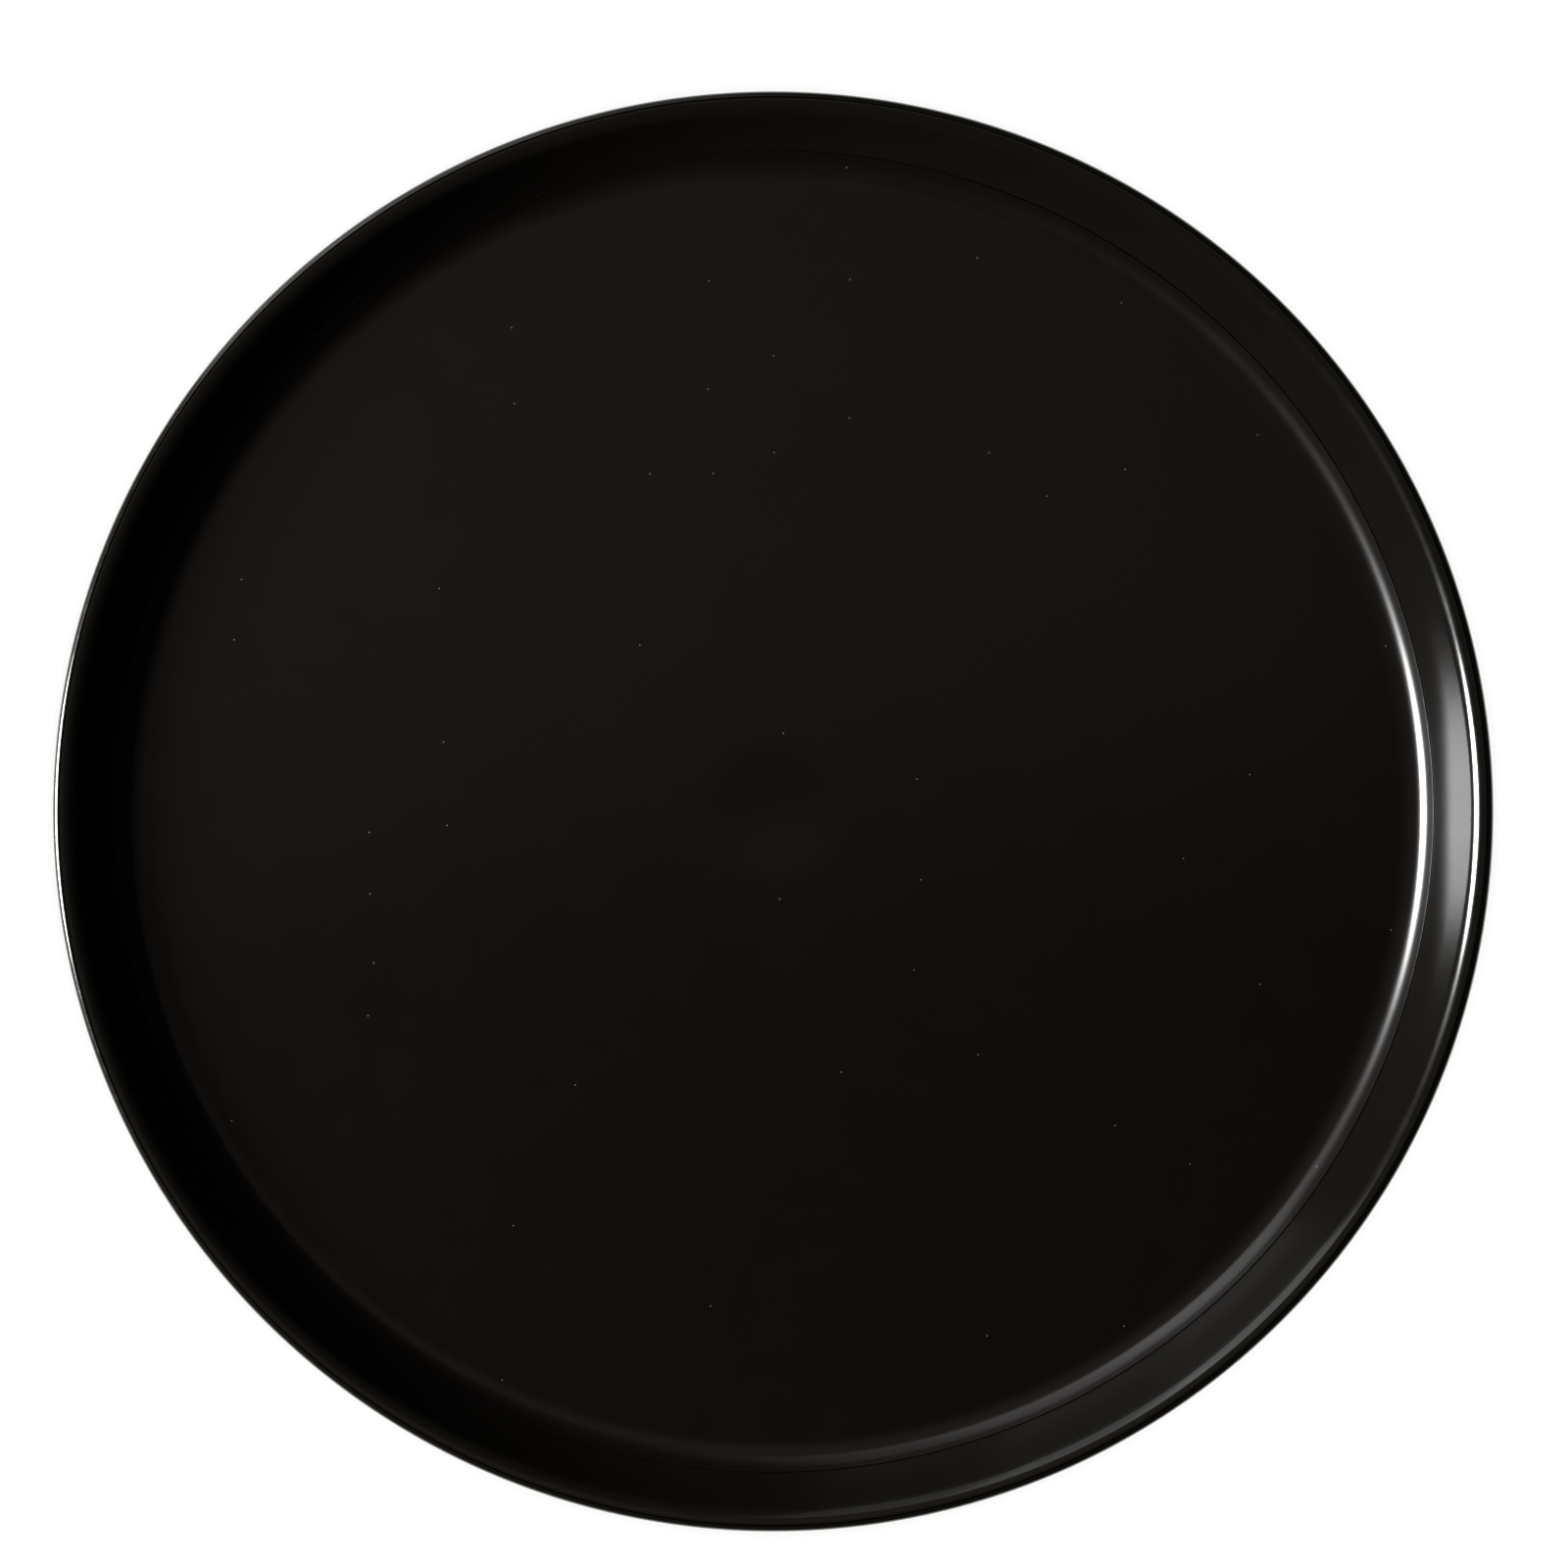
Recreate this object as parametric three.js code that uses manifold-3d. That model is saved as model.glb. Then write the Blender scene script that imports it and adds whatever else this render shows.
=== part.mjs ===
// A round low-walled serving tray for catering, in millimetres, with +Z up.
//
// The tray is a moulded dish with a leaning wall and a rounded rim. A thin non-slip liner is bonded
// into a rebate that covers the floor and the curve at the wall's foot, a steel hoop stiffens the rim
// from inside its channel, and rubber pads sit in recesses under the foot ring.
//
// The origin is the centre of the underside, on the surface that the tray stands on.

import * as THREE from 'three';
import { mergeVertices } from 'three/addons/utils/BufferGeometryUtils.js';
import Module from 'manifold-3d';

// ---------- driving dimensions ----------

const TRAY_RADIUS = 178; // outside of the rim: a 14 inch tray
const INNER_DEPTH = 17.5; // from the serving surface up to the top of the rim
const WALL_DRAFT = THREE.MathUtils.degToRad(29); // lean of the inner wall away from upright

// The curve from the floor up to the wall: an easy start, a tight bend, and a long shallow run.
// Each arc goes on from the slope where the one before it ends, and the last one ends in the wall.
const FOOT_ARCS = [
  { radius: 20, from: 0, steps: 2 },
  { radius: 6, from: THREE.MathUtils.degToRad(10), steps: 4 },
  { radius: 45, from: THREE.MathUtils.degToRad(48), steps: 2 },
];
const LINER_EDGE_SLOPE = THREE.MathUtils.degToRad(50); // slope of the curve at the liner's edge

const CLEARANCE = 0.3; // between two pieces that touch: the bond line, and the slack of a seat

const LINER_THICKNESS = 1.0;
const FLOOR_THICKNESS = 2.4; // of the moulding, under the liner

const RIM_INNER_ROUND = 4.5;
const RIM_OUTER_ROUND = 1.5;
const RIM_FLAT = 0.2; // level strip between the rim's two rounds
const RIM_TOP_THICKNESS = 2.8; // above the channel
const SKIRT_HEIGHT = 9.0; // of the rim's outer face
const SKIRT_THICKNESS = 1.3;
const SKIRT_CHAMFER = 0.5;
const SNAP_BEAD_REACH = 0.8; // how far the bead stands into the channel's mouth
const SNAP_BEAD_HALF_HEIGHT = 0.8;
const WALL_TOP_THICKNESS = 2.4; // across the wall, level with the channel's roof

const WIRE_RADIUS = 1.3;

const FOOT_RING_RADIUS = 140; // middle of the ring
const FOOT_RING_WIDTH = 16;
const FOOT_RING_HEIGHT = 2.0;
const FOOT_RING_CHAMFER = 0.5;

const PAD_COUNT = 6;
const PAD_RADIUS = 6;
const PAD_THICKNESS = 2.2;
const PAD_CHAMFER = 0.4;
const PAD_REVEAL = 0.8; // how far a pad stands below the foot ring

const ROUND_STEPS = 72; // around the tray
const PAD_STEPS = 24; // around a pad or its recess
const RIM_STEPS = 4;
const WIRE_STEPS = 8;

const QUARTER_TURN = Math.PI / 2;
const WELD_DISTANCE = 1e-4; // points closer than this are one
const RECESS_OVERRUN = 1; // how far a recess's cutter runs out past the face that it opens in

// ---------- heights and points that follow from them ----------

const FOOT_Z = PAD_REVEAL;
const UNDERSIDE_Z = FOOT_Z + FOOT_RING_HEIGHT;
const MOULDED_FLOOR_Z = UNDERSIDE_Z + FLOOR_THICKNESS;
const LINER_BACK_Z = MOULDED_FLOOR_Z + CLEARANCE;
const SERVING_Z = LINER_BACK_Z + LINER_THICKNESS;
const RIM_Z = SERVING_Z + INNER_DEPTH;
const CHANNEL_ROOF_Z = RIM_Z - RIM_TOP_THICKNESS;
const SKIRT_INNER_RADIUS = TRAY_RADIUS - SKIRT_THICKNESS;

const point = (r, z) => new THREE.Vector2(r, z);

const heading = (angle) => point(Math.cos(angle), Math.sin(angle));
const move = (from, direction, distance) => from.clone().addScaledVector(direction, distance);

// Straight into the wall's material.
const WALL_ANGLE = -WALL_DRAFT;
const INTO_WALL = heading(WALL_ANGLE);

const RIM_OUTER_CENTRE = point(TRAY_RADIUS - RIM_OUTER_ROUND, RIM_Z - RIM_OUTER_ROUND);
const RIM_INNER_CENTRE = point(RIM_OUTER_CENTRE.x - RIM_FLAT, RIM_Z - RIM_INNER_ROUND);
const WALL_TOP = move(RIM_INNER_CENTRE, INTO_WALL, -RIM_INNER_ROUND);

// A direction that points into the material under a surface of this slope.
const under = (slope) => heading(slope - QUARTER_TURN);
const WALL_SLOPE = QUARTER_TURN - WALL_DRAFT;

// Follows the foot's arcs from the edge of the level floor, and gives each its centre and its end.
function followArcs(start) {
  let end = start;
  return FOOT_ARCS.map((shape, i) => {
    const to = FOOT_ARCS[i + 1]?.from ?? WALL_SLOPE;
    const centre = move(end, under(shape.from), -shape.radius);
    end = move(centre, under(to), shape.radius);
    return { ...shape, to, centre, end };
  });
}

// The wall comes straight down from the rim to the last arc's end, and so places the level floor.
const FOOT_RISE = followArcs(point(0, SERVING_Z)).at(-1).end;
const STRAIGHT_WALL = (WALL_TOP.y - FOOT_RISE.y) * Math.tan(WALL_DRAFT);
const LEVEL_RADIUS = WALL_TOP.x - STRAIGHT_WALL - FOOT_RISE.x;
const FOOT = followArcs(point(LEVEL_RADIUS, SERVING_Z));
const [, TIGHT_BEND, LONG_RUN] = FOOT;

// The body's step, which the liner's edge stops short of.
const STEP_SLOPE = LINER_EDGE_SLOPE + CLEARANCE / LONG_RUN.radius;

// ---------- profile helpers ----------

// Points on an arc about a centre, from one angle to another, both ends included.
function arc(centre, radius, from, to, steps) {
  return Array.from({ length: steps + 1 }, (_, i) => {
    const angle = from + ((to - from) * i) / steps;
    return move(centre, heading(angle), radius);
  });
}

// The foot's curve from one slope up to another, this deep under its surface. The last of the arcs
// that it follows goes on to the end.
function footCurve(depth, from, to, arcs = FOOT) {
  return arcs.flatMap((bend) => {
    const start = Math.max(from, bend.from);
    const stop = bend === arcs.at(-1) ? to : Math.min(to, bend.to);
    if (start >= stop) return [];
    const [first, last] = [start - QUARTER_TURN, stop - QUARTER_TURN];
    return arc(bend.centre, bend.radius + depth, first, last, bend.steps);
  });
}

// The angle on a circle's lower side at which a line from an outside point touches it.
function tangentAngle(centre, radius, outside) {
  const toOutside = outside.clone().sub(centre);
  return toOutside.angle() - Math.acos(radius / toOutside.length());
}

// ---------- solids ----------

const wasm = await Module();
wasm.setup();

// Position only, with shared vertices and no slivers where a profile meets its axis.
function weld(geometry) {
  geometry.deleteAttribute('normal');
  geometry.deleteAttribute('uv');
  const welded = mergeVertices(geometry, WELD_DISTANCE);
  const index = welded.index.array;
  const kept = [];
  for (let i = 0; i < index.length; i += 3) {
    const [a, b, c] = index.slice(i, i + 3);
    if (a !== b && b !== c && c !== a) kept.push(a, b, c);
  }
  welded.setIndex(kept);
  return welded;
}

// A profile of radius and height, turned about the Z axis.
function turned(profile, steps) {
  const geometry = weld(new THREE.LatheGeometry(profile, steps));
  return geometry.rotateX(QUARTER_TURN);
}

function toSolid(geometry) {
  const vertProperties = new Float32Array(geometry.attributes.position.array);
  const triVerts = new Uint32Array(geometry.index.array);
  return new wasm.Manifold(new wasm.Mesh({ numProp: 3, vertProperties, triVerts }));
}

function fromSolid(solid) {
  const { vertProperties, triVerts } = solid.getMesh();
  const geometry = new THREE.BufferGeometry();
  geometry.setAttribute('position', new THREE.BufferAttribute(vertProperties, 3));
  geometry.setIndex(new THREE.BufferAttribute(triVerts, 1));
  return geometry;
}

function cutAway(geometry, cutters) {
  const cut = cutters.reduce((solid, cutter) => solid.subtract(toSolid(cutter)), toSolid(geometry));
  return fromSolid(cut);
}

// ---------- the moulded body ----------

const BODY_BACK_DEPTH = SERVING_Z - UNDERSIDE_Z;
const REBATE_DEPTH = LINER_THICKNESS + CLEARANCE;

// The ring under the floor, with the edges that meet the table eased.
function footRingProfile() {
  const inner = FOOT_RING_RADIUS - FOOT_RING_WIDTH / 2;
  const outer = FOOT_RING_RADIUS + FOOT_RING_WIDTH / 2;
  return [
    point(inner, UNDERSIDE_Z),
    point(inner, FOOT_Z + FOOT_RING_CHAMFER),
    point(inner + FOOT_RING_CHAMFER, FOOT_Z),
    point(outer - FOOT_RING_CHAMFER, FOOT_Z),
    point(outer, FOOT_Z + FOOT_RING_CHAMFER),
    point(outer, UNDERSIDE_Z),
  ];
}

// Where the back of the wall meets the channel's roof.
const inset = (WALL_TOP.y - CHANNEL_ROOF_Z) * Math.tan(WALL_DRAFT);
const CHANNEL_CORNER = point(WALL_TOP.x - inset + WALL_TOP_THICKNESS, CHANNEL_ROOF_Z);

// The wall's back runs straight from there and meets the curve under the tight bend at a tangent.
const BACK_BEND_RADIUS = TIGHT_BEND.radius + BODY_BACK_DEPTH;
const WALL_BACK_ANGLE = tangentAngle(TIGHT_BEND.centre, BACK_BEND_RADIUS, CHANNEL_CORNER);

// The rim from the channel's roof, down the inside of the skirt, round its edge and up to the top.
function rimProfile() {
  const skirtFoot = RIM_Z - SKIRT_HEIGHT;
  const beadFoot = skirtFoot + SKIRT_CHAMFER;
  const beadTip = beadFoot + SNAP_BEAD_HALF_HEIGHT;
  return [
    CHANNEL_CORNER,
    point(SKIRT_INNER_RADIUS, CHANNEL_ROOF_Z),
    point(SKIRT_INNER_RADIUS, beadTip + SNAP_BEAD_HALF_HEIGHT),
    point(SKIRT_INNER_RADIUS - SNAP_BEAD_REACH, beadTip),
    point(SKIRT_INNER_RADIUS, beadFoot),
    point(SKIRT_INNER_RADIUS, skirtFoot),
    point(TRAY_RADIUS - SKIRT_CHAMFER, skirtFoot),
    point(TRAY_RADIUS, beadFoot),
    ...arc(RIM_OUTER_CENTRE, RIM_OUTER_ROUND, 0, QUARTER_TURN, RIM_STEPS),
    ...arc(RIM_INNER_CENTRE, RIM_INNER_ROUND, QUARTER_TURN, WALL_ANGLE + Math.PI, RIM_STEPS),
  ];
}

// The curve's end at the wall, the step that the liner's edge stops short of, and the rebate.
function rebateProfile() {
  return [
    ...footCurve(0, STEP_SLOPE, WALL_SLOPE).reverse(),
    ...footCurve(REBATE_DEPTH, 0, STEP_SLOPE).reverse(),
    point(0, MOULDED_FLOOR_Z),
  ];
}

function bodyProfile() {
  return [
    point(0, UNDERSIDE_Z),
    ...footRingProfile(),
    ...footCurve(BODY_BACK_DEPTH, 0, WALL_BACK_ANGLE + QUARTER_TURN, FOOT.slice(0, 2)),
    ...rimProfile(),
    ...rebateProfile(),
  ];
}

// One blind recess for each pad, open downwards and run out past the foot ring's face.
function padRecesses() {
  const radius = PAD_RADIUS + CLEARANCE;
  const roof = PAD_THICKNESS + CLEARANCE;
  const below = FOOT_Z - RECESS_OVERRUN;
  return padPlaces().map(({ x, y }) => {
    const recess = new THREE.CylinderGeometry(radius, radius, roof - below, PAD_STEPS);
    return weld(recess).rotateX(QUARTER_TURN).translate(x, y, (roof + below) / 2);
  });
}

const bodyGeometry = () => cutAway(turned(bodyProfile(), ROUND_STEPS), padRecesses());

// ---------- the liner, the hoop and the pads ----------

function linerGeometry() {
  return turned([
    point(0, LINER_BACK_Z),
    ...footCurve(LINER_THICKNESS, 0, LINER_EDGE_SLOPE),
    ...footCurve(0, 0, LINER_EDGE_SLOPE).reverse(),
    point(0, SERVING_Z),
  ], ROUND_STEPS);
}

// The hoop touches the skirt and the wall's back alike, a clearance away from each.
function wireCentre() {
  const awayFromWall = heading(WALL_BACK_ANGLE);
  const reach = WIRE_RADIUS + CLEARANCE;
  const r = SKIRT_INNER_RADIUS - reach;
  const drop = (reach - (r - CHANNEL_CORNER.x) * awayFromWall.x) / -awayFromWall.y;
  return point(r, CHANNEL_ROOF_Z - drop);
}

function wireGeometry() {
  const section = arc(wireCentre(), WIRE_RADIUS, 0, 2 * Math.PI, WIRE_STEPS);
  section[WIRE_STEPS].copy(section[0]);
  return turned(section, ROUND_STEPS);
}

function padPlaces() {
  return Array.from({ length: PAD_COUNT }, (_, i) => {
    return heading((2 * Math.PI * i) / PAD_COUNT).multiplyScalar(FOOT_RING_RADIUS);
  });
}

function padGeometry() {
  return turned([
    point(0, 0),
    point(PAD_RADIUS - PAD_CHAMFER, 0),
    point(PAD_RADIUS, PAD_CHAMFER),
    point(PAD_RADIUS, PAD_THICKNESS),
    point(0, PAD_THICKNESS),
  ], PAD_STEPS);
}

// ---------- materials ----------

const finish = (color, roughness, metalness) =>
  new THREE.MeshStandardMaterial({ color, roughness, metalness });

const MOULDED_BLACK = finish(0x1a1612, 0.24, 0);
const LINER_BLACK = finish(0x1e1a15, 0.26, 0);
const GALVANISED_STEEL = finish(0x9a9c9e, 0.42, 1);
const PAD_RUBBER = finish(0x232220, 0.78, 0);

// ---------- the assembly ----------

const tray = new THREE.Group();

function place(name, geometry, material, x = 0, y = 0) {
  const mesh = new THREE.Mesh(geometry, material);
  mesh.name = name;
  mesh.position.set(x, y, 0);
  tray.add(mesh);
}

place('tray_body', bodyGeometry(), MOULDED_BLACK);
place('nonslip_liner', linerGeometry(), LINER_BLACK);
place('rim_wire', wireGeometry(), GALVANISED_STEEL);
padPlaces().forEach(({ x, y }, i) => place(`foot_pad_${i + 1}`, padGeometry(), PAD_RUBBER, x, y));

export default tray;
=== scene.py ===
"""A round serving tray: fine meshes, materials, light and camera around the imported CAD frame.

Every length is in metres, in the frame's own axes: +Z is up, out of the tray's open side.
"""

import math

import bpy
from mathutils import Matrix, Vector


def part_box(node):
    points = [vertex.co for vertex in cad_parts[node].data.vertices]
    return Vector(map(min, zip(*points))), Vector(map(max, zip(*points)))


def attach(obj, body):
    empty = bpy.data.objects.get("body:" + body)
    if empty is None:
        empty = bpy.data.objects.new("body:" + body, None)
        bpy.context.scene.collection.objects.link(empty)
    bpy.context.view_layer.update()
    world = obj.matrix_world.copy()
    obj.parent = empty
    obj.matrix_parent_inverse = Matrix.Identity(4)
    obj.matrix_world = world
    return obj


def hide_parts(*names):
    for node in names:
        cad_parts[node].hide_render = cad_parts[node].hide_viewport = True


MM = 0.001

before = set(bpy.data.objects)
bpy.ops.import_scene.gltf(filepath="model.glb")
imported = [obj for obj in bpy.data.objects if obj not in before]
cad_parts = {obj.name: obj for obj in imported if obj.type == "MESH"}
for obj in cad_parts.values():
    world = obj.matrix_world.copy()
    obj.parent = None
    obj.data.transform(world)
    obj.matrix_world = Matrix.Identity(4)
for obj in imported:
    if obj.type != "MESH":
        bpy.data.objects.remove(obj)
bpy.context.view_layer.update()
body_low, body_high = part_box("tray_body")
liner_low, liner_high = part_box("nonslip_liner")
wire_low, wire_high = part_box("rim_wire")
pad_low, pad_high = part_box("foot_pad_1")

# ---------- sizes ----------

# The moulding's own angles, thicknesses and rounds.
WALL_DRAFT = math.radians(29)
WALL_SLOPE = math.pi / 2 - WALL_DRAFT
CLEARANCE = 0.3 * MM
LINER_THICKNESS = 1.0 * MM
FLOOR_THICKNESS = 2.4 * MM
# The curve from the floor up to the wall: each arc's radius, and the slope that it starts from.
FOOT_ARCS = (
    (20 * MM, 0.0),
    (6 * MM, math.radians(10)),
    (45 * MM, math.radians(48)),
)
LINER_EDGE_SLOPE = math.radians(50)
STEP_SLOPE = LINER_EDGE_SLOPE + CLEARANCE / FOOT_ARCS[-1][0]
RIM_INNER_ROUND = 4.5 * MM
RIM_OUTER_ROUND = 1.5 * MM
RIM_TOP_THICKNESS = 2.8 * MM
SKIRT_HEIGHT = 9.0 * MM
SKIRT_THICKNESS = 1.3 * MM
SNAP_BEAD_REACH = 0.8 * MM
SNAP_BEAD_HALF_HEIGHT = 0.8 * MM
BEAD_ABOVE_FOOT = 1.3 * MM
WALL_TOP_THICKNESS = 2.4 * MM
FOOT_RING_WIDTH = 16 * MM
EDGE_ROUND = 0.5 * MM
FINE_ROUND = 0.25 * MM
LINER_EDGE_ROUND = 0.06 * MM  # the liner is die-cut
EDGE_ROOM = 3 * FINE_ROUND / FOOT_ARCS[-1][0]  # the angle kept free beside a round on the curve

# Where the hoop's ends are butt-welded, it swells a little.
WELD_SWELL = 0.14 * MM
WELD_LENGTH = 1.4 * MM

# Slight sink of the serving surface over the centre gate, and the gate's stub below.
SINK_DEPTH = 0.3 * MM
SINK_RADIUS = 20 * MM
GATE_RADIUS = 4 * MM
GATE_HEIGHT = 0.4 * MM

# Heights and radii that the frame gives.
TRAY_RADIUS = body_high.x
RIM_Z = body_high.z
FOOT_Z = body_low.z
LINER_BACK_Z = liner_low.z
SERVING_Z = LINER_BACK_Z + LINER_THICKNESS
MOULDED_FLOOR_Z = LINER_BACK_Z - CLEARANCE
UNDERSIDE_Z = MOULDED_FLOOR_Z - FLOOR_THICKNESS
PAD_RADIUS = (pad_high.x - pad_low.x) / 2
PAD_TOP_Z = pad_high.z
FOOT_RING_RADIUS = (pad_high.x + pad_low.x) / 2
WIRE_RADIUS = (wire_high.z - wire_low.z) / 2
WIRE_CENTRE = (wire_high.x - WIRE_RADIUS, (wire_high.z + wire_low.z) / 2)

# How finely the meshes are divided.
ROUND_STEPS = 384
PAD_STEPS = 96
WIRE_SIDES = 24
ARC_STEP = math.radians(5)
ARC_LENGTH = 0.5 * MM
SUPPORT = 0.25 * MM  # a loop this far from each round keeps the flat beside it flat
TINY = 0.001 * MM
STRAIGHT = 1e-4  # a corner that turns less than this isn't rounded
SHARP_ANGLE = math.radians(32)

# The moulding's back: faces whose normal dips below this, or that lie this near the underside.
LOOKS_DOWN = -0.05
UNDERSIDE_MARGIN = 0.1 * MM


# ---------- outlines ----------


def heading(angle):
    return Vector((math.cos(angle), math.sin(angle)))


def under(slope):
    """Straight into the material under a surface of this slope."""
    return heading(slope - math.pi / 2)


def follow_arcs():
    """The foot's arcs in their places, each as centre, radius, first slope and last slope."""
    arcs = []
    end = Vector((0, SERVING_Z))
    slopes = [start for _, start in FOOT_ARCS[1:]] + [LINER_EDGE_SLOPE]
    for (radius, start), stop in zip(FOOT_ARCS, slopes):
        centre = end - under(start) * radius
        end = centre + under(stop) * radius
        arcs.append((centre, radius, start, stop))
    edge = liner_high.x - LINER_THICKNESS * math.sin(LINER_EDGE_SLOPE)
    for centre, *_ in arcs:
        centre.x += edge - end.x
    return arcs


FOOT = follow_arcs()


def on_arc(arc, depth, slope):
    """The point of an arc of the foot with this slope, this deep under the surface."""
    centre, radius, _, _ = arc
    return centre + under(slope) * (radius + depth)


def wall_line(z):
    """The radius of the inner wall's cone at a height."""
    foot = on_arc(FOOT[-1], 0, WALL_SLOPE)
    return foot.x + (z - foot.y) * math.tan(WALL_DRAFT)


def foot_curve(depth, low, high, arcs=FOOT):
    """Corners along the foot's curve from one slope up to another, this deep under its surface.

    The last of the arcs goes on to the end, and one more corner lies just before and just after.
    """
    points = []
    for arc in arcs:
        _, radius, start, stop = arc
        first = max(low, start)
        last = high if arc is arcs[-1] else min(high, stop)
        if first < last:
            steps = math.ceil((last - first) * (radius + depth) / ARC_LENGTH)
            slopes = [first + (last - first) * k / steps for k in range(steps + 1)]
            points += [on_arc(arc, depth, slope) for slope in slopes]
    before = points[0] - heading(low) * SUPPORT
    after = points[-1] + heading(high) * SUPPORT
    return [(*point, 0) for point in (before, *points, after)]


def corner_arc(here, before, after, radius):
    """Points that turn a corner on an arc, with one more on each straight side that has room."""
    back, ahead = before - here, after - here
    room_back, room_ahead = back.length, ahead.length
    back.normalize()
    ahead.normalize()
    turn = math.pi - back.angle(ahead)
    if radius == 0 or turn < STRAIGHT:
        return [here]
    setback = radius * math.tan(turn / 2)
    start, end = here + back * setback, here + ahead * setback
    centre = here + (back + ahead).normalized() * math.hypot(radius, setback)
    steps = max(3, math.ceil(turn / ARC_STEP))
    arc = [centre + slerp(start - centre, end - centre, turn, k / steps) for k in range(steps + 1)]
    if room_back > setback + 3 * SUPPORT:
        arc.insert(0, start + back * SUPPORT)
    if room_ahead > setback + 3 * SUPPORT:
        arc.append(end + ahead * SUPPORT)
    return arc


def rounded(corners):
    """An outline through corners (r, z, round), each turned on an arc of that radius."""
    points = [Vector(corner[:2]) for corner in corners]
    outline = [points[0]]
    for before, here, after, corner in zip(points, points[1:], points[2:], corners[1:]):
        outline += corner_arc(here, before, after, corner[2])
    outline.append(points[-1])
    return [p for p, after in zip(outline, outline[1:]) if (after - p).length > TINY] + [points[-1]]


def slerp(a, b, angle, t):
    """The direction a share t of the way from a to b, round the angle between them."""
    return (a * math.sin((1 - t) * angle) + b * math.sin(t * angle)) / math.sin(angle)


def tangent_slope(centre, radius, outside):
    """The slope of a line from an outside point that touches a circle's lower side."""
    reach = Vector(outside) - centre
    return math.atan2(reach.y, reach.x) - math.acos(radius / reach.length) + math.pi / 2


def body_back_outline():
    """The moulding's back: underside, foot ring, wall, channel and the inside of the skirt."""
    ring_inner = FOOT_RING_RADIUS - FOOT_RING_WIDTH / 2
    ring_outer = FOOT_RING_RADIUS + FOOT_RING_WIDTH / 2
    skirt_inner = TRAY_RADIUS - SKIRT_THICKNESS
    skirt_foot = RIM_Z - SKIRT_HEIGHT
    bead_z = skirt_foot + BEAD_ABOVE_FOOT
    roof_z = RIM_Z - RIM_TOP_THICKNESS
    channel = (wall_line(roof_z) + WALL_TOP_THICKNESS, roof_z)
    depth = SERVING_Z - UNDERSIDE_Z
    bend_centre, bend_radius, _, _ = FOOT[1]
    back_slope = tangent_slope(bend_centre, bend_radius + depth, channel)
    return [
        (0, UNDERSIDE_Z - GATE_HEIGHT, 0),
        (GATE_RADIUS, UNDERSIDE_Z - GATE_HEIGHT, FINE_ROUND / 2),
        (GATE_RADIUS, UNDERSIDE_Z, FINE_ROUND / 2),
        (ring_inner, UNDERSIDE_Z, EDGE_ROUND),
        (ring_inner, FOOT_Z, EDGE_ROUND),
        (ring_outer, FOOT_Z, EDGE_ROUND),
        (ring_outer, UNDERSIDE_Z, EDGE_ROUND),
        *foot_curve(depth, 0, back_slope, FOOT[:2]),
        (*channel, FINE_ROUND),
        (skirt_inner, roof_z, FINE_ROUND),
        (skirt_inner, bead_z + SNAP_BEAD_HALF_HEIGHT, FINE_ROUND),
        (skirt_inner - SNAP_BEAD_REACH, bead_z, FINE_ROUND),
        (skirt_inner, bead_z - SNAP_BEAD_HALF_HEIGHT, FINE_ROUND),
        (skirt_inner, skirt_foot, FINE_ROUND),
    ]


def body_face_outline():
    """The moulding's face: skirt, rim, inner wall, and the rebate that the liner lies in."""
    rebate = LINER_THICKNESS + CLEARANCE
    run = FOOT[-1]
    return [
        (TRAY_RADIUS, RIM_Z - SKIRT_HEIGHT, EDGE_ROUND),
        (TRAY_RADIUS, RIM_Z, RIM_OUTER_ROUND),
        (wall_line(RIM_Z), RIM_Z, RIM_INNER_ROUND),
        *reversed(foot_curve(0, STEP_SLOPE + EDGE_ROOM, WALL_SLOPE)),
        (*on_arc(run, 0, STEP_SLOPE), FINE_ROUND),
        (*on_arc(run, rebate, STEP_SLOPE), 0),
        *reversed(foot_curve(rebate, 0, LINER_EDGE_SLOPE)[:-1]),
        (0, MOULDED_FLOOR_Z, 0),
    ]


def sink(r):
    """How far the serving surface lies below level at a radius."""
    if r >= SINK_RADIUS:
        return 0.0
    return SINK_DEPTH * (1 + math.cos(math.pi * r / SINK_RADIUS)) / 2


def liner_outline():
    """The liner: a level floor with a slight sink, and its square edge up on the curve."""
    run = FOOT[-1]
    edge = LINER_EDGE_SLOPE - EDGE_ROOM
    outline = rounded([
        (0, LINER_BACK_Z, 0),
        *foot_curve(LINER_THICKNESS, 0, edge),
        (*on_arc(run, LINER_THICKNESS, LINER_EDGE_SLOPE), 0),
        (*on_arc(run, 0, LINER_EDGE_SLOPE), LINER_EDGE_ROUND),
        *reversed(foot_curve(0, 0, edge)),
        (0, SERVING_Z, 0),
    ])
    rings = int(SINK_RADIUS / MM) + 1
    floor = [Vector((k * MM, SERVING_Z - sink(k * MM))) for k in range(rings, -1, -1)]
    return outline[:-1] + floor


# ---------- meshes ----------


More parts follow.
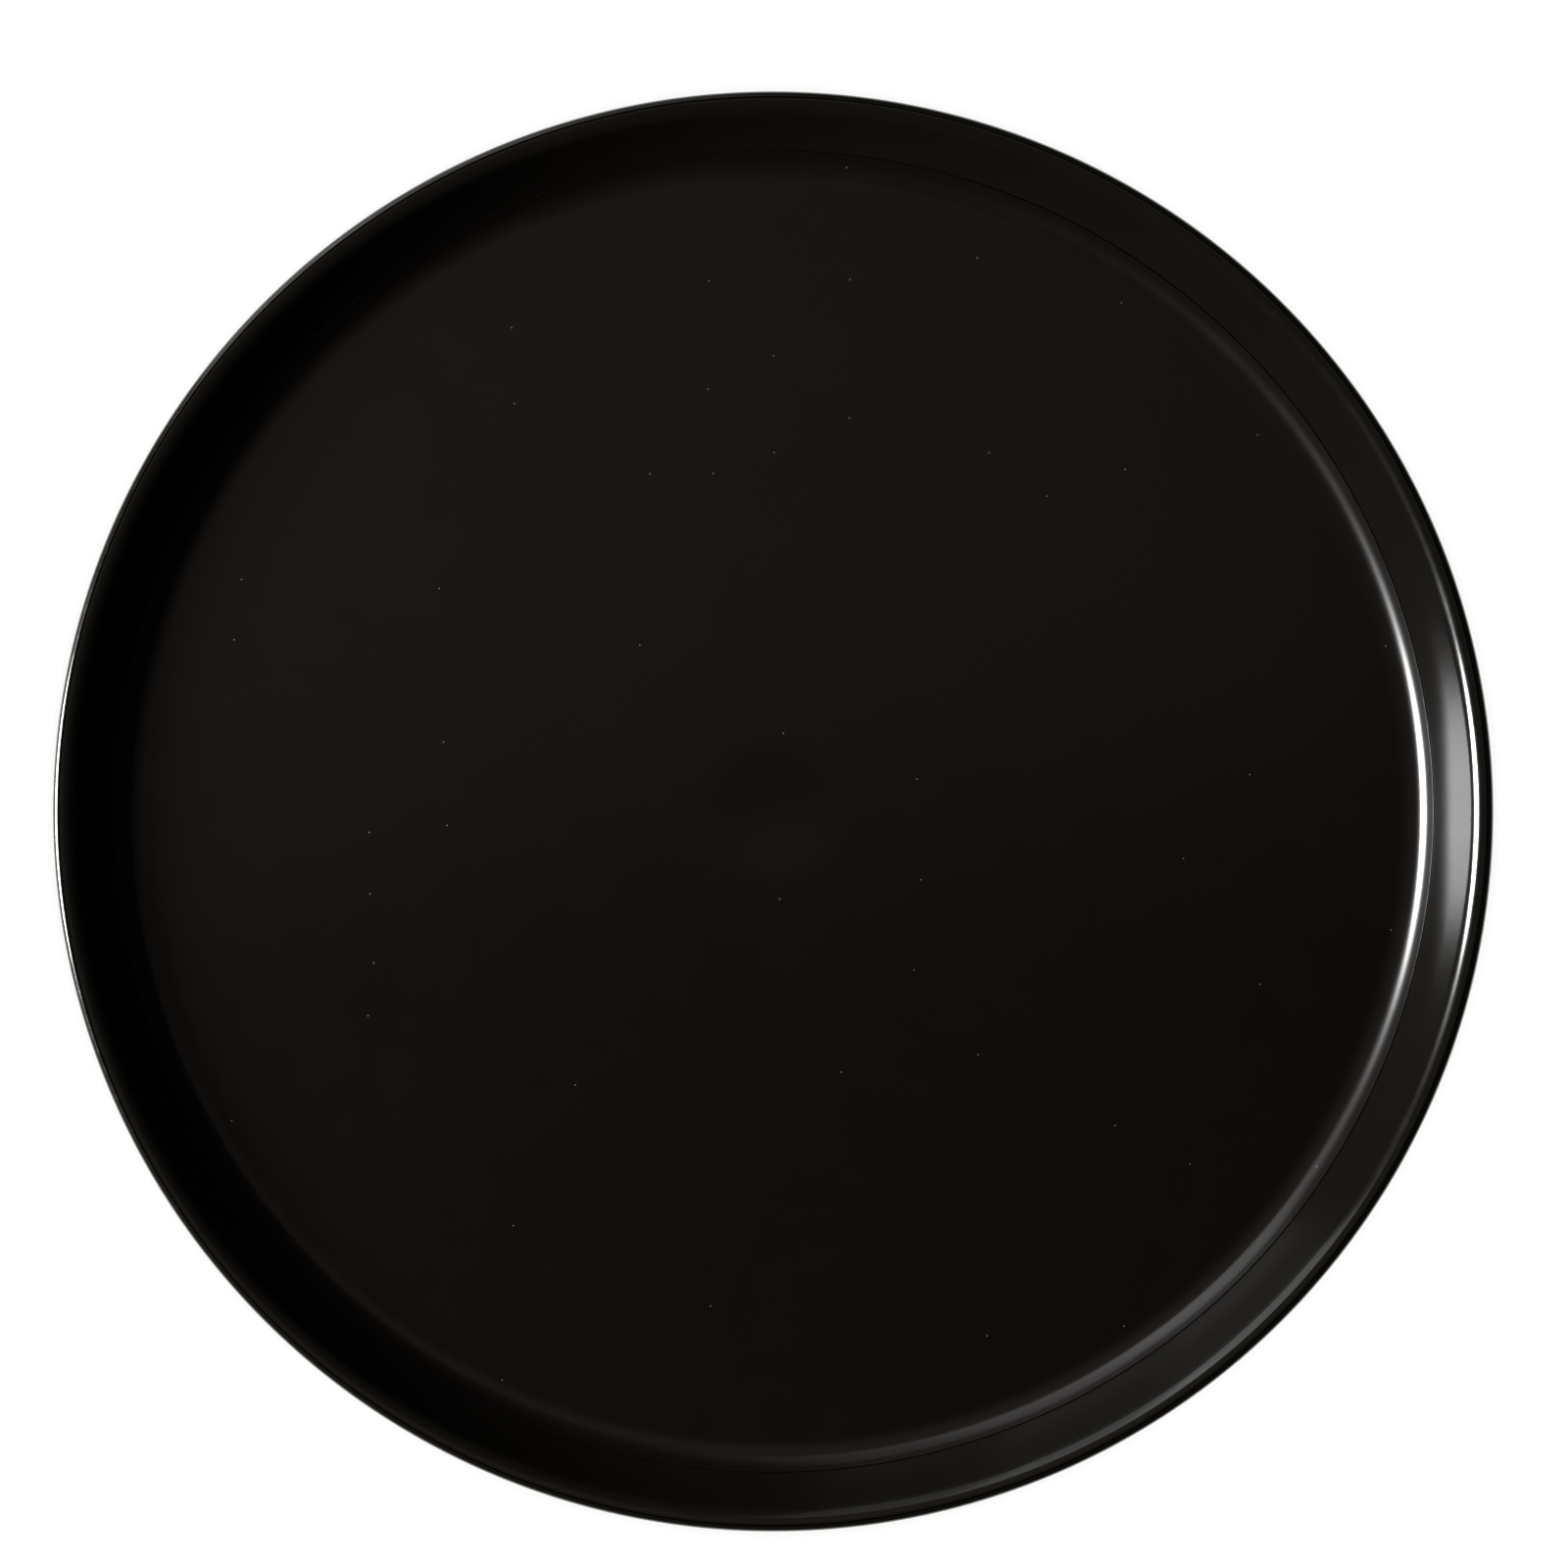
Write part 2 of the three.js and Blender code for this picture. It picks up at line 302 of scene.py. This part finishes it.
def turned(name, outline, steps, closed=False):
    """A mesh made by turning an outline of (r, z) about the Z axis."""
    vertices, rows = [], []
    for r, z in outline:
        count = 1 if r < TINY else steps
        rows.append(range(len(vertices), len(vertices) + count))
        for k in range(count):
            angle = 2 * math.pi * k / steps
            vertices.append((r * math.cos(angle), r * math.sin(angle), z))
    pairs = list(zip(rows, rows[1:]))
    if closed:
        pairs.append((rows[-1], rows[0]))
    faces = []
    for low, high in pairs:
        for k in range(steps):
            after = (k + 1) % steps
            ring = [low[k % len(low)], low[after % len(low)]]
            ring += [high[after % len(high)], high[k % len(high)]]
            faces.append(list(dict.fromkeys(ring)))
    mesh = bpy.data.meshes.new(name)
    mesh.from_pydata(vertices, [], faces)
    mesh.validate()
    piece = bpy.data.objects.new(name, mesh)
    bpy.context.scene.collection.objects.link(piece)
    smooth(mesh)
    return piece


def smooth(mesh):
    mesh.shade_smooth()
    mesh.set_sharp_from_angle(angle=SHARP_ANGLE)


def cut(piece, cutter):
    """Takes one closed mesh out of another."""
    modifier = piece.modifiers.new("cut", "BOOLEAN")
    modifier.operation = "DIFFERENCE"
    modifier.solver = "EXACT"
    modifier.object = cutter
    bpy.context.view_layer.update()
    evaluated = piece.evaluated_get(bpy.context.evaluated_depsgraph_get())
    mesh = bpy.data.meshes.new_from_object(evaluated)
    piece.modifiers.remove(modifier)
    piece.data = mesh
    bpy.data.objects.remove(cutter)


def pad_centres():
    """Where each pad's CAD node lies."""
    names = sorted(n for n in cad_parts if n.startswith("foot_pad_"))
    for name in names:
        low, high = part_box(name)
        yield name, (low + high) / 2


def make_body(face_material, back_material):
    back = body_back_outline()
    face = body_face_outline()
    body = turned("moulded_tray", rounded(back + face), ROUND_STEPS)
    body.data.materials.append(face_material)
    body.data.materials.append(back_material)
    for _, centre in pad_centres():
        recess = turned("recess", [
            Vector((0, FOOT_Z - MM)),
            Vector((PAD_RADIUS + CLEARANCE, FOOT_Z - MM)),
            Vector((PAD_RADIUS + CLEARANCE, PAD_TOP_Z + CLEARANCE)),
            Vector((0, PAD_TOP_Z + CLEARANCE)),
        ], PAD_STEPS)
        recess.location = (centre.x, centre.y, 0)
        cut(body, recess)
    smooth(body.data)
    paint_back(body.data)
    return body


def paint_back(mesh):
    """Gives the faces that look down or into the channel the back's grained material."""
    for polygon in mesh.polygons:
        at = Vector((math.hypot(polygon.center.x, polygon.center.y), polygon.center.z))
        looks_down = polygon.normal.z < LOOKS_DOWN and at.x < TRAY_RADIUS - SKIRT_THICKNESS
        low = at.y < UNDERSIDE_Z + UNDERSIDE_MARGIN
        polygon.material_index = int(looks_down or low or in_channel(at))


def in_channel(at):
    """Whether a point (r, z) is on the channel's sides, between the wall and the skirt."""
    beside = wall_line(at.y) + WALL_TOP_THICKNESS / 2 < at.x < TRAY_RADIUS - SKIRT_THICKNESS / 2
    return beside and RIM_Z - SKIRT_HEIGHT < at.y < RIM_Z - RIM_TOP_THICKNESS / 2


def make_liner(material):
    liner = turned("nonslip_floor_liner", liner_outline(), ROUND_STEPS)
    liner.data.materials.append(material)
    return liner


def make_wire(material):
    """A hoop of round wire, a little swollen where its ends are butt-welded."""
    outline = []
    for k in range(WIRE_SIDES):
        angle = 2 * math.pi * k / WIRE_SIDES
        r = WIRE_CENTRE[0] + WIRE_RADIUS * math.cos(angle)
        outline.append(Vector((r, WIRE_CENTRE[1] + WIRE_RADIUS * math.sin(angle))))
    wire = turned("rim_hoop", outline, 2 * ROUND_STEPS, closed=True)
    swell_weld(wire.data)
    wire.data.materials.append(material)
    return wire


def swell_weld(mesh):
    """Moves the wire's skin out from its own centre line, most of all at azimuth zero."""
    radius, height = WIRE_CENTRE
    for vertex in mesh.vertices:
        along = math.atan2(vertex.co.y, vertex.co.x) * radius
        swell = WELD_SWELL * math.exp(-((along / WELD_LENGTH) ** 2))
        flat = Vector((vertex.co.x, vertex.co.y, 0)).normalized()
        centre = flat * radius + Vector((0, 0, height))
        vertex.co += (vertex.co - centre).normalized() * swell


def make_pads(material):
    outline = rounded([
        (0, 0, 0),
        (PAD_RADIUS, 0, EDGE_ROUND),
        (PAD_RADIUS, PAD_TOP_Z, FINE_ROUND),
        (0, PAD_TOP_Z, 0),
    ])
    for node, centre in pad_centres():
        pad = turned(node.replace("foot_pad", "rubber_foot"), outline, PAD_STEPS)
        for vertex in pad.data.vertices:
            vertex.co += Vector((centre.x, centre.y, 0))
        pad.data.materials.append(material)
        yield pad, node


# ---------- materials ----------

PLASTIC_IOR = 1.55
# Each surface's darkest and palest tone, and its roughness where it is smoothest and dullest.
MOULDING_TONES = (0.0026, 0.0022, 0.0017), (0.0034, 0.0028, 0.0021)
MOULDING_GLOSS = 0.13, 0.16
GRAINED_TONES = (0.0135, 0.0115, 0.0085), (0.0170, 0.0145, 0.0110)
GRAINED_GLOSS = 0.38, 0.52
LINER_TONES = (0.0022, 0.0014, 0.0009), (0.0026, 0.0017, 0.0011)
LINER_GLOSS = 0.155, 0.175
WIRE_TONES = (0.36, 0.36, 0.37), (0.52, 0.52, 0.53)
WIRE_GLOSS = 0.32, 0.50
RUBBER_TONES = (0.017, 0.0165, 0.016), (0.027, 0.026, 0.025)
RUBBER_GLOSS = 0.62, 0.82
PAINT_TONES = (0.80, 0.80, 0.79), (0.82, 0.82, 0.81)
PAINT_GLOSS = 0.75, 0.85

RIM_RUB = 0.10  # roughness that wear adds in places on the rim's top
RIM_TOP_BAND = 0.5 * MM
# The specular level down on the wall and up on the rim, and where under the rim it changes.
SHINE_LEVELS = 0.2, 0.5
SHINE_BAND = RIM_Z - 2.3 * MM, RIM_Z - 1.0 * MM

CURVE_DULLING = 0.05  # roughness that the liner gains where it was stretched round the curve
CURVE_DULLING_REACH = 3 * MM
DUST_TONE = (0.05, 0.047, 0.044)
DUST_DULLING = 0.5


class Nodes:
    """A short way to write a material's node tree."""

    def __init__(self, name):
        self.material = bpy.data.materials.new(name)
        self.material.use_nodes = True
        self.tree = self.material.node_tree
        self.shader = self.tree.nodes["Principled BSDF"]
        coords = self.tree.nodes.new("ShaderNodeTexCoord")
        self.place = coords.outputs["Object"]

    def add(self, kind, **settings):
        node = self.tree.nodes.new(kind)
        for key, value in settings.items():
            if hasattr(node, key):
                setattr(node, key, value)
            else:
                node.inputs[key.replace("_", " ")].default_value = value
        return node

    def link(self, output, target):
        self.tree.links.new(output, target)

    def noise(self, size, detail=3.0, roughness=0.5):
        """Noise whose features are about this many metres across."""
        node = self.add("ShaderNodeTexNoise", Detail=detail, Roughness=roughness)
        node.inputs["Scale"].default_value = 1 / size
        self.link(self.place, node.inputs["Vector"])
        return node.outputs["Fac"]

    def span(self, value, low, high, start=0.3, stop=0.7):
        """A value brought from start..stop to low..high, and held at those ends."""
        node = self.add("ShaderNodeMapRange", clamp=True)
        ends = {"From Min": start, "From Max": stop, "To Min": low, "To Max": high}
        for key, number in ends.items():
            node.inputs[key].default_value = number
        self.link(value, node.inputs["Value"])
        return node.outputs["Result"]

    def maths(self, operation, a, b):
        node = self.add("ShaderNodeMath", operation=operation)
        for socket, value in zip(node.inputs, (a, b)):
            if isinstance(value, (int, float)):
                socket.default_value = value
            else:
                self.link(value, socket)
        return node.outputs["Value"]

    def mix(self, share, first, second):
        """A colour between two, each a colour or another node's output."""
        node = self.add("ShaderNodeMix", data_type="RGBA")
        self.link(share, node.inputs["Factor"])
        for socket, value in zip((node.inputs[6], node.inputs[7]), (first, second)):
            if isinstance(value, tuple):
                socket.default_value = (*value, 1)
            else:
                self.link(value, socket)
        return node.outputs[2]

    def bump(self, height, depth):
        """Bump of a height from 0 to 1 that stands for this many metres."""
        node = self.add("ShaderNodeBump", Distance=depth)
        self.link(height, node.inputs["Height"])
        return node.outputs["Normal"]

    def surface(self, colour=None, roughness=None, normal=None):
        sockets = {"Base Color": colour, "Roughness": roughness, "Normal": normal}
        for key, value in sockets.items():
            if value is not None:
                self.link(value, self.shader.inputs[key])


def dust(nodes, cell, speck, share):
    """Where fine specks lie: one in some of the cells of a flat grid."""
    cells = nodes.add("ShaderNodeTexVoronoi", voronoi_dimensions="2D")
    cells.inputs["Scale"].default_value = 1 / cell
    nodes.link(nodes.place, cells.inputs["Vector"])
    near = nodes.span(cells.outputs["Distance"], 1, 0, 0.5 * speck / cell, speck / cell)
    parts = nodes.add("ShaderNodeSeparateColor")
    nodes.link(cells.outputs["Color"], parts.inputs["Color"])
    chosen = nodes.maths("LESS_THAN", parts.outputs["Red"], share)
    return nodes.maths("MULTIPLY", near, chosen)


def polished_moulding():
    """The moulding's face: warm brown-black, satin gloss, dulled a little along the rim's top."""
    nodes = Nodes("polished_moulding")
    nodes.shader.inputs["IOR"].default_value = PLASTIC_IOR
    tone = nodes.mix(nodes.noise(size=30 * MM), *MOULDING_TONES)
    gloss = nodes.span(nodes.noise(size=9 * MM, detail=5), *MOULDING_GLOSS)
    height = nodes.add("ShaderNodeSeparateXYZ")
    nodes.link(nodes.place, height.inputs["Vector"])
    on_top = nodes.span(height.outputs["Z"], 0, 1, start=RIM_Z - RIM_TOP_BAND, stop=RIM_Z)
    wear = nodes.noise(size=2.5 * MM, detail=6, roughness=0.7)
    rubbed = nodes.span(wear, 0, RIM_RUB, start=0.5, stop=0.75)
    gloss = nodes.maths("ADD", gloss, nodes.maths("MULTIPLY", on_top, rubbed))
    shine = nodes.span(height.outputs["Z"], *SHINE_LEVELS, *SHINE_BAND)
    nodes.link(shine, nodes.shader.inputs["Specular IOR Level"])
    ripple = nodes.bump(nodes.noise(size=2.2 * MM, detail=1), depth=0.0012 * MM)
    nodes.surface(tone, gloss, ripple)
    return nodes.material


def grained_moulding():
    """The moulding's back: the same plastic with the mould's fine spark-eroded grain."""
    nodes = Nodes("grained_moulding")
    tone = nodes.mix(nodes.noise(size=25 * MM), *GRAINED_TONES)
    gloss = nodes.span(nodes.noise(size=0.8 * MM, detail=4), *GRAINED_GLOSS)
    grain = nodes.bump(nodes.noise(size=0.45 * MM, detail=2), depth=0.03 * MM)
    nodes.surface(tone, gloss, grain)
    return nodes.material


def smooth_liner():
    """The liner: smooth satin skin, the moulding's colour, with a few specks of dust."""
    nodes = Nodes("smooth_liner")
    nodes.shader.inputs["IOR"].default_value = PLASTIC_IOR
    tone = nodes.mix(nodes.noise(size=40 * MM), *LINER_TONES)
    specks = dust(nodes, cell=17 * MM, speck=0.22 * MM, share=0.2)
    tone = nodes.mix(specks, tone, DUST_TONE)
    gloss = nodes.span(nodes.noise(size=11 * MM, detail=5), *LINER_GLOSS)
    radius = nodes.add("ShaderNodeVectorMath", operation="LENGTH")
    nodes.link(nodes.place, radius.inputs[0])
    level = FOOT[0][0].x
    reach = level, level + CURVE_DULLING_REACH
    on_curve = nodes.span(radius.outputs["Value"], 0, CURVE_DULLING, *reach)
    gloss = nodes.maths("ADD", gloss, on_curve)
    gloss = nodes.maths("ADD", gloss, nodes.maths("MULTIPLY", specks, DUST_DULLING))
    ripple = nodes.bump(nodes.noise(size=3 * MM, detail=1), depth=0.001 * MM)
    nodes.surface(tone, gloss, ripple)
    return nodes.material


def drawn_wire():
    """Zinc-plated drawn steel."""
    nodes = Nodes("drawn_wire")
    nodes.shader.inputs["Metallic"].default_value = 1.0
    tone = nodes.mix(nodes.noise(size=3 * MM, detail=5), *WIRE_TONES)
    gloss = nodes.span(nodes.noise(size=0.6 * MM, detail=4), *WIRE_GLOSS)
    scratches = nodes.bump(nodes.noise(size=0.3 * MM, detail=2), depth=0.01 * MM)
    nodes.surface(tone, gloss, scratches)
    return nodes.material


def pad_rubber():
    nodes = Nodes("pad_rubber")
    tone = nodes.mix(nodes.noise(size=2 * MM, detail=4), *RUBBER_TONES)
    gloss = nodes.span(nodes.noise(size=0.5 * MM, detail=3), *RUBBER_GLOSS)
    grain = nodes.bump(nodes.noise(size=0.25 * MM, detail=2), depth=0.03 * MM)
    nodes.surface(tone, gloss, grain)
    return nodes.material


def floor_paint():
    nodes = Nodes("floor_paint")
    tone = nodes.mix(nodes.noise(size=0.6, detail=2), *PAINT_TONES)
    gloss = nodes.span(nodes.noise(size=0.05, detail=3), *PAINT_GLOSS)
    nodes.surface(tone, gloss)
    return nodes.material


# ---------- stage, light and camera ----------

FLOOR_HALF = 6.0

# The tray's lights: where each stands, seen from the tray's centre, its size and its radiance.
KEY_DISTANCE = 1.44
KEY_AZIMUTH = math.radians(180.4)
KEY_ELEVATION = math.radians(33)
KEY_SIZE = (0.46, 0.80)
KEY_RADIANCE = 82
SHEET_ELEVATION = math.radians(32)
SHEET_DISTANCE = 1.6
SHEET_SIZE = (0.45, 1.66)
# The sheet's strips, side by side: azimuth and radiance of each.
SHEET_STRIPS = ((math.radians(102), 0.35), (math.radians(118), 0.85), (math.radians(134), 1.5))
CEILING_AZIMUTH = math.radians(96)
CEILING_ELEVATION = math.radians(78)
CEILING_DISTANCE = 2.2
CEILING_SIZE = (0.94, 0.94)
CEILING_RADIANCE = 0.092
CEILING_COLOUR = (1, 0.86, 0.72)
ROOM_STRENGTH = 0.012

# The floor's own light, wide enough to keep it pale as far as the horizon.
FLOOR_LIGHT_HEIGHT = 6.0
FLOOR_LIGHT_SIZE = 20.0
FLOOR_LIGHT_RADIANCE = 2.4

CAMERA_HEIGHT = 1.22
SENSOR = 0.036
RIM_SHARE_OF_FRAME = 0.9196
FRAME_SHIFT = (0.0069, 0.0175)  # the tray lies a little left of and below the frame's middle


def make_floor():
    half = FLOOR_HALF
    mesh = bpy.data.meshes.new("floor")
    corners = [(-half, -half, 0), (half, -half, 0), (half, half, 0), (-half, half, 0)]
    mesh.from_pydata(corners, [], [(0, 1, 2, 3)])
    floor = bpy.data.objects.new("floor", mesh)
    bpy.context.scene.collection.objects.link(floor)
    mesh.materials.append(floor_paint())
    return floor


def area_light(name, azimuth, elevation, distance, size, radiance, shape="RECTANGLE"):
    """A flat light that faces the tray's centre from a compass direction."""
    light = bpy.data.lights.new(name, "AREA")
    light.shape = shape
    light.size, light.size_y = size
    area = size[0] * size[1] * (math.pi / 4 if shape == "ELLIPSE" else 1)
    light.energy = radiance * math.pi * area
    lamp = bpy.data.objects.new(name, light)
    bpy.context.scene.collection.objects.link(lamp)
    flat = math.cos(elevation)
    towards = Vector((math.cos(azimuth) * flat, math.sin(azimuth) * flat, math.sin(elevation)))
    lamp.location = towards * distance
    lamp.rotation_mode = "QUATERNION"
    lamp.rotation_quaternion = towards.to_track_quat("Z", "Y")
    return lamp


def shine_only_on(lamps, name, objects):
    """Lamps that light these objects alone, by a collection of this name."""
    lit = bpy.data.collections.new(name)
    for lit_object in objects:
        lit.objects.link(lit_object)
    for lamp in lamps:
        lamp.light_linking.receiver_collection = lit


def make_lights(floor, pieces):
    """A key, a broad sheet and a dim ceiling for the tray, and another light for the floor."""
    key = area_light(
        "key", KEY_AZIMUTH, KEY_ELEVATION, KEY_DISTANCE, KEY_SIZE, KEY_RADIANCE, "ELLIPSE"
    )
    studio = [key]
    for azimuth, radiance in SHEET_STRIPS:
        strip = area_light(
            "sheet_strip", azimuth, SHEET_ELEVATION, SHEET_DISTANCE, SHEET_SIZE, radiance
        )
        studio.append(strip)
    ceiling = area_light(
        "ceiling", CEILING_AZIMUTH, CEILING_ELEVATION, CEILING_DISTANCE, CEILING_SIZE,
        CEILING_RADIANCE,
    )
    ceiling.data.color = CEILING_COLOUR
    studio.append(ceiling)
    shine_only_on(studio, "lit_by_studio", pieces)
    size = (FLOOR_LIGHT_SIZE, FLOOR_LIGHT_SIZE)
    above = area_light(
        "floor_light", 0, math.pi / 2, FLOOR_LIGHT_HEIGHT, size, FLOOR_LIGHT_RADIANCE
    )
    shine_only_on((above,), "lit_from_above", [floor])


def make_world():
    """A dark room to light by, with a white backdrop where the camera looks past the floor."""
    world = bpy.data.worlds.new("room")
    bpy.context.scene.world = world
    world.use_nodes = True
    tree = world.node_tree
    tree.nodes.clear()
    room = tree.nodes.new("ShaderNodeBackground")
    room.inputs["Color"].default_value = (1, 1, 1, 1)
    room.inputs["Strength"].default_value = ROOM_STRENGTH
    backdrop = tree.nodes.new("ShaderNodeBackground")
    backdrop.inputs["Color"].default_value = (1, 1, 1, 1)
    backdrop.inputs["Strength"].default_value = 1.0
    path = tree.nodes.new("ShaderNodeLightPath")
    mix = tree.nodes.new("ShaderNodeMixShader")
    output = tree.nodes.new("ShaderNodeOutputWorld")
    tree.links.new(path.outputs["Is Camera Ray"], mix.inputs["Fac"])
    tree.links.new(room.outputs["Background"], mix.inputs[1])
    tree.links.new(backdrop.outputs["Background"], mix.inputs[2])
    tree.links.new(mix.outputs["Shader"], output.inputs["Surface"])


def make_camera():
    data = bpy.data.cameras.new("camera")
    data.sensor_width = SENSOR / MM
    frame_width = 2 * TRAY_RADIUS / RIM_SHARE_OF_FRAME
    data.lens = data.sensor_width * (CAMERA_HEIGHT - RIM_Z) / frame_width
    data.shift_x, data.shift_y = FRAME_SHIFT
    camera = bpy.data.objects.new("camera", data)
    bpy.context.scene.collection.objects.link(camera)
    camera.location = (0, 0, CAMERA_HEIGHT)
    bpy.context.scene.camera = camera


# ---------- the assembly ----------


def fit(piece, slot, *nodes):
    """The piece rides with the tray and stands for its CAD nodes. Its slot is not used."""
    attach(piece, "root")
    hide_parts(*nodes)
    return piece


tray = [
    fit(make_body(polished_moulding(), grained_moulding()), "moulded_body", "tray_body"),
    fit(make_liner(smooth_liner()), "liner", "nonslip_liner"),
    fit(make_wire(drawn_wire()), "wire", "rim_wire"),
]
tray += [fit(pad, "pad_rubber", node) for pad, node in make_pads(pad_rubber())]

make_camera()
make_world()
make_lights(make_floor(), tray)
bpy.context.scene.view_settings.view_transform = "Standard"
